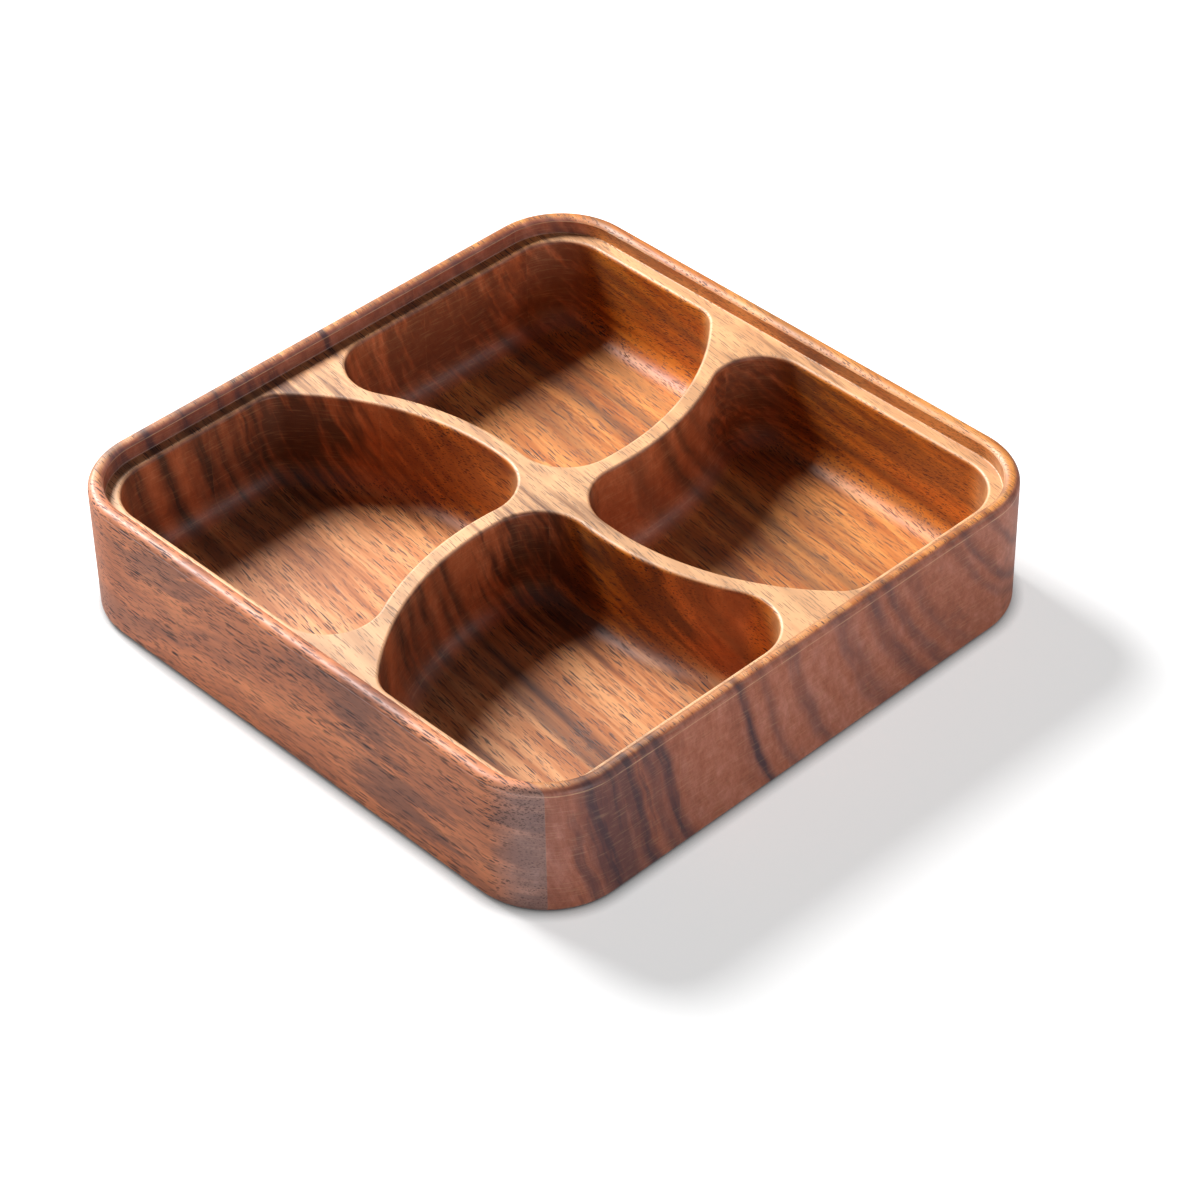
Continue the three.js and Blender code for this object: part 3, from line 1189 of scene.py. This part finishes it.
@dataclass(frozen=True)
class WoodFinish:
    """Oiled acacia: colours and figure of the boards cut one way."""

    slot: str
    sawing: Sawing
    pale: Colour
    golden: Colour
    russet: Colour
    # Heartwood colour, also used for patches of painted shade.
    heart_and_shade: Colour
    pore: Colour
    # End grain facing +X outside the pockets: its colour and its heartwood with a painted mauve
    # reflection of the floor. The two after are the end grain inside the pockets.
    end_colour_and_sheen: Colour
    end_heart_and_sheen: Colour
    wall_end_tint: Colour
    # Also the colour of painted shade on the end-grain walls inside the pockets.
    wall_heart_and_shade: Colour
    # Pale colour of the painted sheen on the tops and the painted highlight lines on edges, and also of
    # sanding marks and glue specks.
    sheen_and_wear: Colour
    band_depth: float
    cloud_share: float
    cloud_depth: float
    dashes: tuple[DashLayer, ...]
    broad: StreakLayer
    middle: StreakLayer
    fine: StreakLayer
    crowding: float
    # Wood colour from front to back, together with painted sheen that is bluer and paler at the front.
    front_tint: Colour = WHITE
    back_tint: Colour = WHITE
    # Painted orange bounce light on the pocket walls that face the front.
    wall_bounce_tint: Colour = WHITE
    # End grain that faces -X, which lies in the light, without the painted mauve reflection.
    left_tint: Colour = (0.76, 0.86, 1.05)
    dark_patches: tuple[DarkPatch, ...] = ()
    pith: tuple[float, float] = (167.8 * MM, 87.0 * MM)
    lean: float = 0.14
    waver: float = 6 * MM
    arch_sway: float = 9 * MM
    patch_fray: float = 2.4
    tone: float = 0.0
    # Painted sheen on the seat and rim: its strength, the pores it keeps, and how far it lifts the tone.
    seat_sheen: float = 0.4
    rim_sheen: float = 0.0
    sheen_pores: float = 1.0
    sheen_tone: float = 0.6
    glue_width: float = 0.3 * MM
    glue_share: float = 0.08
    # Share of the painted highlight on crisp edges.
    arris_highlight_share: float = 0.45
    mark_share: float = 0.16
    left_marks: float = 0.3
    end_pores: float = 0.1
    end_calm: float = 0.7
    end_mottle: float = 1.1
    end_tone: float = -0.12
    roughness: float = 0.50
    bump: float = 0.25
    bump_depth: float = 0.25 * MM
    gloss: float = 0.75

    def material(self, name: str, effects: WoodEffects, board: BoardPlace) -> bpy.types.Material:
        """Makes the material of one board.

        Args:
            name: Name of the material.
            effects: The shared node groups.
            board: Where the board lies.

        Returns:
            The new material.
        """
        made = bpy.data.materials.new(name)
        made.use_nodes = True
        sheet = BoardSheet(made.node_tree, self, effects, board)
        sheet.dress(made.node_tree.nodes["Principled BSDF"])
        return made


class BoardSheet(NodeSheet):
    """The node sheet of one board: its figure, and the colour, gloss and relief made from it."""

    # Soft steps that all boards share: where each starts and ends, then its results there
    SHEEN_STEP = (0.0, 0.5, 1.0)
    FADE = (0.0, 1.0, 1.0)
    BAND_BREAKS = (-0.2, 0.2, 0.7, 1.25)
    GOLDEN_TONES = (0.0, 0.55)
    PALE_TONES = (0.4, 1.0)
    SCRATCHES = (0.5, 0.75, 0.0)

    MIDDLE_TONE = 0.5
    FINE_ROUGH, PORE_ROUGH, ARRIS_ROUGH = 0.12, 0.2, -0.1
    FINE_RELIEF, PORE_RELIEF, MARK_RELIEF = 0.25, -1.0, 0.35

    def __init__(self, tree: Tree, finish: WoodFinish, effects: WoodEffects, board: BoardPlace) -> None:
        """Lays out the board's figure.

        Args:
            tree: The material's tree.
            finish: The finish.
            effects: The shared node groups.
            board: Where the board lies.
        """
        super().__init__(tree)
        self.finish, self.effects, self.board = finish, effects, board
        self.place = self.node("TexCoord").outputs["Object"]
        self.rings = self._ring_position()
        self.grain = self.vector("ADD", self.rings, board.shift)
        self.broad, self.middle, self.fine = (
            self.use(effects.fibres, Rings=self.grain, Fineness=layer.fineness, Stretch=layer.stretch)
            for layer in (finish.broad, finish.middle, finish.fine)
        )
        self.end, self.left, self.mottle, self.marks = self.uses(effects.ends, Position=self.place)
        self.inside, self.front = self.uses(effects.walls, Position=self.place)
        # Painted highlight lines on crisp edges.
        self.arris = self.use(effects.arris, Position=self.place)
        self.glue = self.use(
            effects.glue, Position=self.place, Front=board.front, Back=board.back, Width=finish.glue_width
        )
        # Painted sheen on the upward-facing tops.
        self.top_sheen = self.use(effects.top_sheen, Position=self.place, Seat=finish.seat_sheen, Rim=finish.rim_sheen)
        self.pores = self.product(self._pore_mask(), self.ramp(self.top_sheen, *self.SHEEN_STEP, finish.sheen_pores))

    def dress(self, shader: bpy.types.Node) -> None:
        """Feeds the board's colour, gloss and relief into a shader.

        Args:
            shader: The material's shader.
        """
        self.feed(shader.inputs["Base Color"], self._marked_colour(self._bare_colour()))
        unevenness = self.weighted(
            (self.fine, self.FINE_ROUGH), (self.pores, self.PORE_ROUGH), (self.arris, self.ARRIS_ROUGH)
        )
        self.feed(shader.inputs["Roughness"], self.total(self.finish.roughness, unevenness))
        relief = self.weighted(
            (self.fine, self.FINE_RELIEF), (self.pores, self.PORE_RELIEF), (self.marks, self.MARK_RELIEF)
        )
        bump = self.node("Bump")
        bump.inputs["Strength"].default_value = self.finish.bump
        bump.inputs["Distance"].default_value = self.finish.bump_depth
        self.feed(bump.inputs["Height"], relief)
        self.feed(shader.inputs["Normal"], bump.outputs["Normal"])
        shader.inputs["Specular IOR Level"].default_value = self.finish.gloss

    def _bare_colour(self) -> Socket:
        """The colour of the wood before its heartwood, pores and edges, with painted sheen on the tops
        and the painted light in its tints.

        Returns:
            The colour.
        """
        finish = self.finish
        streaks = self.weighted(
            (self.broad, finish.broad.weight),
            (self.middle, finish.middle.weight),
            (self.fine, finish.fine.weight),
        )
        streaks = self.product(streaks, self.ramp(self.end, *self.FADE, 1.0 - finish.end_calm))
        tone = self.total(
            self.MIDDLE_TONE + finish.tone + self.board.tone,
            streaks,
            self.product(self.mottle, finish.end_mottle),
            self.product(self.end, finish.end_tone),
            self.product(self.top_sheen, finish.sheen_tone),
        )
        colour = self.blend(self.ramp(tone, *self.GOLDEN_TONES), finish.russet, finish.golden)
        colour = self.blend(self.ramp(tone, *self.PALE_TONES), colour, finish.pale)
        across = self.use(self.effects.across, Position=self.place)
        # Wood colour from front to back, with painted sheen that is bluer and paler at the front.
        tint = self.blend(across, finish.front_tint, finish.back_tint)
        # Painted orange bounce light on the pocket walls that face the front.
        tint = self.blend(self.front, tint, finish.wall_bounce_tint)
        # End grain: faces that look +X outside the pockets take a painted mauve reflection of the floor;
        # faces that look -X take a tint without it.
        end_colour_and_sheen = self.blend(self.inside, finish.end_colour_and_sheen, finish.wall_end_tint)
        tint = self.blend(self.end, tint, self.blend(self.left, end_colour_and_sheen, finish.left_tint))
        colour = self.blend(1.0, colour, tint, "MULTIPLY")
        # Painted sheen on the tops.
        return self.blend(self.top_sheen, colour, finish.sheen_and_wear)

    def _marked_colour(self, colour: Socket) -> Socket:
        """The colour with heartwood and painted shade, marks of sanding, pores, glue lines and painted
        edge highlights.

        Args:
            colour: The colour of the bare wood.

        Returns:
            The colour.
        """
        finish = self.finish
        # The dark colour of heartwood and painted shade; on end grain facing +X outside the pockets it
        # holds a painted mauve reflection.
        heart_and_shade = self.blend(self.inside, finish.end_heart_and_sheen, finish.wall_heart_and_shade)
        heart_and_shade = self.blend(self.left, heart_and_shade, finish.heart_and_shade)
        heart_and_shade = self.blend(self.end, finish.heart_and_shade, heart_and_shade)
        colour = self.blend(self._heart_and_shade_mask(), colour, heart_and_shade)
        scratch = self.ramp(self.marks, *self.SCRATCHES, finish.mark_share)
        scratch = self.product(scratch, self.ramp(self.left, *self.FADE, finish.left_marks))
        colour = self.blend(scratch, colour, finish.sheen_and_wear)
        colour = self.blend(self.pores, colour, finish.pore)
        # Glue specks, and painted highlight lines on the crisp edges.
        for mask, share in ((self.glue, finish.glue_share), (self.arris, finish.arris_highlight_share)):
            colour = self.blend(self.product(mask, share), colour, finish.sheen_and_wear)
        return colour

    def _heart_and_shade_mask(self) -> Socket:
        """How far the wood is darkened: growth bands, clouds, and single patches of heartwood and of
        painted shade.

        Returns:
            The mask.
        """
        finish, effects = self.finish, self.effects
        mask = self.product(
            self.use(effects.bands, Rings=self.rings),
            finish.band_depth,
            self.ramp(self.middle, *self.BAND_BREAKS),
            self.math("SUBTRACT", 1.0, self.top_sheen),
        )
        cloud = self.use(effects.clouds, Rings=self.grain, Share=finish.cloud_share)
        mask = self.math("MAXIMUM", mask, self.product(cloud, finish.cloud_depth))
        for patch_spec in finish.dark_patches:
            patch = self.use(
                effects.patch_spec,
                Position=self.place,
                Middle=patch_spec.middle,
                Reach=patch_spec.reach,
                Streak=self.middle,
                Fray=finish.patch_fray,
                Depth=patch_spec.depth,
            )
            mask = self.math("MAXIMUM", mask, patch)
        return mask

    def _ring_position(self) -> Socket:
        """The place in the log that the figure is laid out by.

        Returns:
            The place along the grain, across the rings and along the rings.
        """
        finish = self.finish
        if finish.sawing is Sawing.FLAT:
            return self.use(self.effects.arches, Position=self.place, Sway=finish.arch_sway)
        return self.use(
            self.effects.rings,
            Position=self.place,
            Pith_Y=finish.pith[0],
            Pith_Z=finish.pith[1],
            Lean=finish.lean,
            Waver=finish.waver,
        )

    def _pore_mask(self) -> Socket:
        """The pores of all sizes, crowded in rows, and faint where the grain is cut across.

        Returns:
            The mask.
        """
        finish = self.finish
        run = self.grain
        if finish.sawing is Sawing.FLAT:
            x, y, z = self.split(self.place)
            run = self.join(x, z, y)
        mask: Source = 0.0
        for layer in finish.dashes:
            dash = self.use(
                self.effects.pores,
                Rings=run,
                Length=layer.length,
                Spacing=layer.spacing,
                Size=layer.size,
                Share=layer.share,
            )
            mask = self.math("MAXIMUM", mask, self.product(dash, layer.depth))
        crowd = self.use(self.effects.rows, Rings=self.grain, Crowding=finish.crowding)
        return self.product(mask, crowd, self.ramp(self.end, *self.FADE, finish.end_pores))


BOARD_FINISH = WoodFinish(
    slot="board_wood",
    sawing=Sawing.RIFT,
    pale=(0.91, 0.43, 0.145),
    golden=(0.60, 0.205, 0.048),
    russet=(0.32, 0.092, 0.022),
    heart_and_shade=(0.115, 0.035, 0.015),
    pore=(0.042, 0.014, 0.009),
    end_colour_and_sheen=(0.90, 0.77, 1.62),
    end_heart_and_sheen=(0.098, 0.042, 0.051),
    wall_end_tint=(0.96, 0.76, 1.12),
    wall_heart_and_shade=(0.056, 0.018, 0.012),
    sheen_and_wear=(0.98, 0.63, 0.37),
    band_depth=0.95,
    cloud_share=0.35,
    cloud_depth=0.35,
    dashes=(
        DashLayer(15 * MM, 0.95 * MM, 0.28, 0.75, 1.0),
        DashLayer(9 * MM, 0.68 * MM, 0.30, 0.95, 1.0),
        DashLayer(6 * MM, 0.46 * MM, 0.31, 0.95, 0.85),
    ),
    broad=StreakLayer(70.0, 7.0, 1.4),
    middle=StreakLayer(300.0, 22.0, 1.5),
    fine=StreakLayer(1200.0, 40.0, 0.9),
    crowding=0.3,
    front_tint=(0.97, 0.98, 1.24),
    back_tint=(1.0, 0.85, 0.58),
    wall_bounce_tint=(1.0, 0.68, 0.18),
    seat_sheen=0.5,
    sheen_pores=0.65,
    tone=0.14,
    dark_patches=(
        DarkPatch((0.045, 0.062, 0.009), (0.034, 0.011, 0.03), 0.45),
        DarkPatch((0.078, 0.050, 0.009), (0.020, 0.006, 0.03), 0.35),
        DarkPatch((-0.070, 0.064, 0.009), (0.040, 0.005, 0.02), 0.40),
        DarkPatch((0.075, -0.100, 0.009), (0.060, 0.006, 0.03), 0.55),
        # The next six patches: painted shade in the -X +Y corner of each pocket, and heartwood with
        # painted shade on the back walls of the two front pockets.
        DarkPatch((-0.100, -0.030, 0.028), (0.032, 0.026, 0.030), 0.90),
        DarkPatch((-0.045, -0.004, 0.028), (0.055, 0.012, 0.028), 0.55),
        DarkPatch((0.016, -0.014, 0.028), (0.028, 0.024, 0.030), 0.90),
        DarkPatch((0.060, -0.008, 0.028), (0.035, 0.010, 0.024), 0.75),
        DarkPatch((-0.102, 0.100, 0.028), (0.028, 0.026, 0.030), 0.65),
        DarkPatch((0.008, 0.098, 0.028), (0.030, 0.024, 0.030), 0.75),
        DarkPatch((-0.109, 0.050, 0.028), (0.012, 0.045, 0.030), 0.70),
        # Darkens the -X rim and seat along their whole length: heartwood and the painted shade of the
        # rim.
        DarkPatch((-0.1145, 0.0, 0.049), (0.008, 0.3, 0.012), 0.45),
        DarkPatch((0.113, -0.110, 0.026), (0.020, 0.018, 0.040), 0.30),
        DarkPatch((0.120, -0.088, 0.026), (0.010, 0.018, 0.060), 0.80),
        DarkPatch((0.075, -0.083, 0.009), (0.045, 0.0045, 0.020), 0.55),
        DarkPatch((0.070, 0.1085, 0.034), (0.050, 0.006, 0.010), 0.50),
        DarkPatch((-0.060, -0.070, 0.009), (0.045, 0.030, 0.020), 0.20),
        DarkPatch((0.080, 0.055, 0.009), (0.040, 0.035, 0.020), 0.20),
    ),
)
STRIP_FINISH = WoodFinish(
    slot="front_strip_wood",
    sawing=Sawing.FLAT,
    pale=(0.88, 0.280, 0.088),
    golden=(0.60, 0.160, 0.044),
    russet=(0.28, 0.078, 0.028),
    heart_and_shade=(0.140, 0.050, 0.036),
    pore=(0.050, 0.019, 0.018),
    end_colour_and_sheen=(0.86, 1.60, 4.30),
    end_heart_and_sheen=(0.170, 0.100, 0.105),
    wall_end_tint=(0.80, 0.62, 0.90),
    wall_heart_and_shade=(0.055, 0.018, 0.012),
    sheen_and_wear=(0.80, 0.50, 0.40),
    band_depth=0.0,
    cloud_share=0.45,
    cloud_depth=0.45,
    dashes=(
        DashLayer(9 * MM, 1.00 * MM, 0.33, 1.00, 1.0),
        DashLayer(6 * MM, 0.72 * MM, 0.34, 1.00, 1.0),
        DashLayer(4.5 * MM, 0.50 * MM, 0.34, 0.90, 0.8),
    ),
    broad=StreakLayer(60.0, 3.0, 1.2),
    middle=StreakLayer(260.0, 8.0, 0.7),
    fine=StreakLayer(900.0, 14.0, 0.6),
    crowding=0.6,
    tone=0.08,
    rim_sheen=0.2,
    patch_fray=4.5,
    sheen_pores=0.9,
    end_calm=0.85,
    end_pores=0.6,
    dark_patches=(
        DarkPatch((0.038, -0.120, 0.042), (0.018, 0.1, 0.024), 0.60),
        DarkPatch((0.052, -0.120, 0.017), (0.026, 0.1, 0.016), 0.58),
        DarkPatch((-0.062, -0.120, 0.047), (0.022, 0.1, 0.014), 0.45),
        DarkPatch((0.116, -0.115, 0.030), (0.016, 0.1, 0.045), 0.5),
        DarkPatch((-0.116, -0.120, 0.036), (0.012, 0.1, 0.020), 0.4),
    ),
)


# The boards


@dataclass
class GluedBoards:
    """The boards of the tray, which are glued edge to edge and run along X."""

    form: TrayForm = field(default_factory=TrayForm)
    front_strip: float = 9 * MM
    back_strip: float = 29 * MM
    whole_boards: int = 4
    figure_step: float = 0.37
    figure_drift: float = 0.6 * MM
    drift_cycle: int = 3
    tones: tuple[float, ...] = (0.0, 0.02, 0.01, 0.06, -0.02, 0.03)

    def joints(self) -> list[float]:
        """Where the glued joints lie.

        Returns:
            Y of each joint, from the front.
        """
        width = (self.form.side - self.front_strip - self.back_strip) / self.whole_boards
        first = self.front_strip - self.form.side / 2
        return [first + i * width for i in range(self.whole_boards + 1)]

    def names(self) -> list[str]:
        """The CAD nodes of the boards, from the front."""
        whole = [f"board_{i + 1}" for i in range(self.whole_boards)]
        return ["front_edge_strip", *whole, "back_edge_strip"]

    def board_place(self, number: int) -> BoardPlace:
        """Where one board lies.

        Args:
            number: The board's number from the front.

        Returns:
            Its joints, and the shift and tone of its figure.
        """
        ends = [-self.form.side, *self.joints(), self.form.side]
        drift = self.figure_drift * (number % self.drift_cycle - 1)
        shift = (self.figure_step * number, drift, 0.0)
        return BoardPlace(ends[number], ends[number + 1], shift, self.tones[number])

    def build(self, effects: WoodEffects) -> list[bpy.types.Object]:
        """Makes and dresses every board.

        Args:
            effects: The shared node groups.

        Returns:
            The boards from the front.
        """
        skin = self.form.skin()
        joints: list[float | None] = [None, *self.joints(), None]
        pieces = []
        for number, node in enumerate(self.names()):
            part = skin.between(joints[number], joints[number + 1])
            piece = part.to_object(f"{node}_finished")
            finish = STRIP_FINISH if number == 0 else BOARD_FINISH
            wood = finish.material(f"{node}_oiled", effects, self.board_place(number))
            piece.data.materials.append(wood)
            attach(piece, "root")
            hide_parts(node)
            pieces.append(piece)
        return pieces


# The studio


@dataclass(frozen=True)
class SoftPanel:
    """A round soft light: its name, where it stands, its width and its power in watts."""

    name: str
    place: Triple
    size: float
    power: float


@dataclass
class Studio:
    """Pale floor, soft lights and the camera."""

    target: Triple = (13.606 * MM, 7.878 * MM, 0.0)
    azimuth: float = math.radians(46.202)
    elevation: float = math.radians(39.949)
    roll: float = math.radians(-1.011)
    distance: float = 1334.214 * MM
    focal_pixels: float = 3870.474
    image_pixels: float = 1200.0
    sensor: float = 36.0
    farthest: float = 20.0
    floor_reach: float = 4.0
    floor_drop: float = 0.05 * MM
    floor_colour: Colour = (0.86, 0.86, 0.86)
    floor_roughness: float = 0.9
    floor_gloss: float = 0.1
    shown_colour: Colour = (0.62, 0.62, 0.62)
    shown_glow: float = 0.58
    mirrored_colour: Colour = (0.42, 0.42, 0.42)
    mirrored_glow: float = 0.12
    # Painted contact shade on the floor close around the tray's base.
    contact_reach: float = 5 * MM
    contact_depth: float = 1.1
    contact_samples: int = 8
    sky: float = 0.022
    mirrored_sky: float = 0.12
    lit_place: Triple = (0.0, 0.0, 0.03)
    panels: tuple[SoftPanel, ...] = (
        SoftPanel("key_panel", (-1.20, -0.05, 1.053), 0.68, 53.0),
        SoftPanel("fill_panel", (1.9, -0.4, 0.25), 0.5, 8.5),
        SoftPanel("rear_panel", (1.54, 1.27, 1.32), 0.8, 6.2),
    )

    def build(self) -> None:
        """Makes the floor, the world, the lights and the camera."""
        self.floor()
        self.world()
        for panel in self.panels:
            self.soft_light(panel)
        self.camera()

    def floor(self) -> None:
        """Makes a plain floor just below the tray."""
        reach = self.floor_reach
        mesh = bpy.data.meshes.new("studio_floor")
        corners = [(-reach, -reach, 0), (reach, -reach, 0), (reach, reach, 0), (-reach, reach, 0)]
        mesh.from_pydata(corners, [], [tuple(range(len(corners)))])
        mesh.materials.append(self._floor_material())
        plane = bpy.data.objects.new("studio_floor", mesh)
        plane.location.z = -self.floor_drop
        bpy.context.scene.collection.objects.link(plane)

    def _floor_material(self) -> bpy.types.Material:
        """A pale surface that shows white to the camera and keeps the tray's shadow, with painted contact
        shade close around the tray's base.

        Returns:
            The new material.
        """
        made = bpy.data.materials.new("studio_floor")
        made.use_nodes = True
        sheet = NodeSheet(made.node_tree)
        shader = made.node_tree.nodes["Principled BSDF"]
        seen, mirrored = self._ways_seen(sheet)
        # Painted contact shade: what the camera sees of the floor darkens where the tray is close, by an
        # occlusion test.
        near = sheet.node("AmbientOcclusion", samples=self.contact_samples)
        near.inputs["Distance"].default_value = self.contact_reach
        covered = sheet.math("SUBTRACT", 1.0, near.outputs["AO"])
        clear = sheet.math("SUBTRACT", 1.0, sheet.product(covered, self.contact_depth))
        clear = sheet.math("MAXIMUM", clear, 0.0)
        shown = sheet.blend(1.0, self.shown_colour, sheet.join(clear, clear, clear), "MULTIPLY")
        colour = sheet.blend(mirrored, self.floor_colour, self.mirrored_colour)
        sheet.feed(shader.inputs["Base Color"], sheet.blend(seen, colour, shown))
        sheet.feed(shader.inputs["Emission Color"], WHITE)
        glow = sheet.product(mirrored, self.mirrored_glow)
        glow = sheet.math("MAXIMUM", glow, sheet.product(seen, self.shown_glow, clear))
        sheet.feed(shader.inputs["Emission Strength"], glow)
        shader.inputs["Roughness"].default_value = self.floor_roughness
        shader.inputs["Specular IOR Level"].default_value = self.floor_gloss
        return made

    def _ways_seen(self, sheet: NodeSheet) -> tuple[Socket, Socket]:
        """Which rays look at a surface.

        Args:
            sheet: The sheet of a material or of the world.

        Returns:
            One where the camera sees it, and one where it is mirrored or seen through glass.
        """
        path = sheet.node("LightPath").outputs
        mirrored = sheet.math("MAXIMUM", path["Is Glossy Ray"], path["Is Transmission Ray"])
        return path["Is Camera Ray"], mirrored

    def world(self) -> None:
        """Makes a soft even sky that shows white to the camera."""
        world = bpy.data.worlds.new("studio_sky")
        world.use_nodes = True
        bpy.context.scene.world = world
        sheet = NodeSheet(world.node_tree)
        sky = world.node_tree.nodes["Background"]
        seen, mirrored = self._ways_seen(sheet)
        strength = sheet.ramp(mirrored, 0.0, 1.0, self.sky, self.mirrored_sky)
        sheet.feed(sky.inputs["Strength"], sheet.ramp(seen, 0.0, 1.0, strength, 1.0))
        sheet.feed(sky.inputs["Color"], WHITE)

    def soft_light(self, panel: SoftPanel) -> None:
        """Adds one soft panel that looks at the tray.

        Args:
            panel: The panel.
        """
        lamp = bpy.data.lights.new(panel.name, "AREA")
        lamp.shape = "DISK"
        lamp.size = panel.size
        lamp.energy = panel.power
        holder = bpy.data.objects.new(panel.name, lamp)
        holder.location = panel.place
        way = Vector(self.lit_place) - Vector(panel.place)
        holder.rotation_euler = way.to_track_quat("-Z", "Y").to_euler()
        bpy.context.scene.collection.objects.link(holder)

    def camera(self) -> None:
        """Sets the camera at the photograph's viewing angle."""
        across, along = math.sin(self.azimuth), math.cos(self.azimuth)
        flat, rise = math.cos(self.elevation), math.sin(self.elevation)
        back = Vector((across * flat, -along * flat, rise))
        right = Vector((along, across, 0.0))
        up = back.cross(right)
        stand = Matrix((right, up, back)).transposed().to_4x4()
        lens = bpy.data.cameras.new("photo_camera")
        lens.sensor_width = self.sensor
        lens.lens = self.focal_pixels / self.image_pixels * self.sensor
        lens.clip_end = self.farthest
        holder = bpy.data.objects.new("photo_camera", lens)
        place = Vector(self.target) + back * self.distance
        holder.matrix_world = Matrix.Translation(place) @ stand @ Matrix.Rotation(self.roll, 4, "Z")
        bpy.context.scene.collection.objects.link(holder)
        bpy.context.scene.camera = holder


def main() -> None:
    """Builds the boards and the studio."""
    logging.basicConfig(level=logging.INFO, format="%(name)s: %(message)s")
    bpy.context.scene.view_settings.view_transform = "Standard"
    effects = WoodEffects()
    for piece in GluedBoards().build(effects):
        LOG.info("%s: %d faces", piece.name, len(piece.data.polygons))
    Studio().build()
    bpy.context.view_layer.update()


if __name__ == "__main__":
    main()
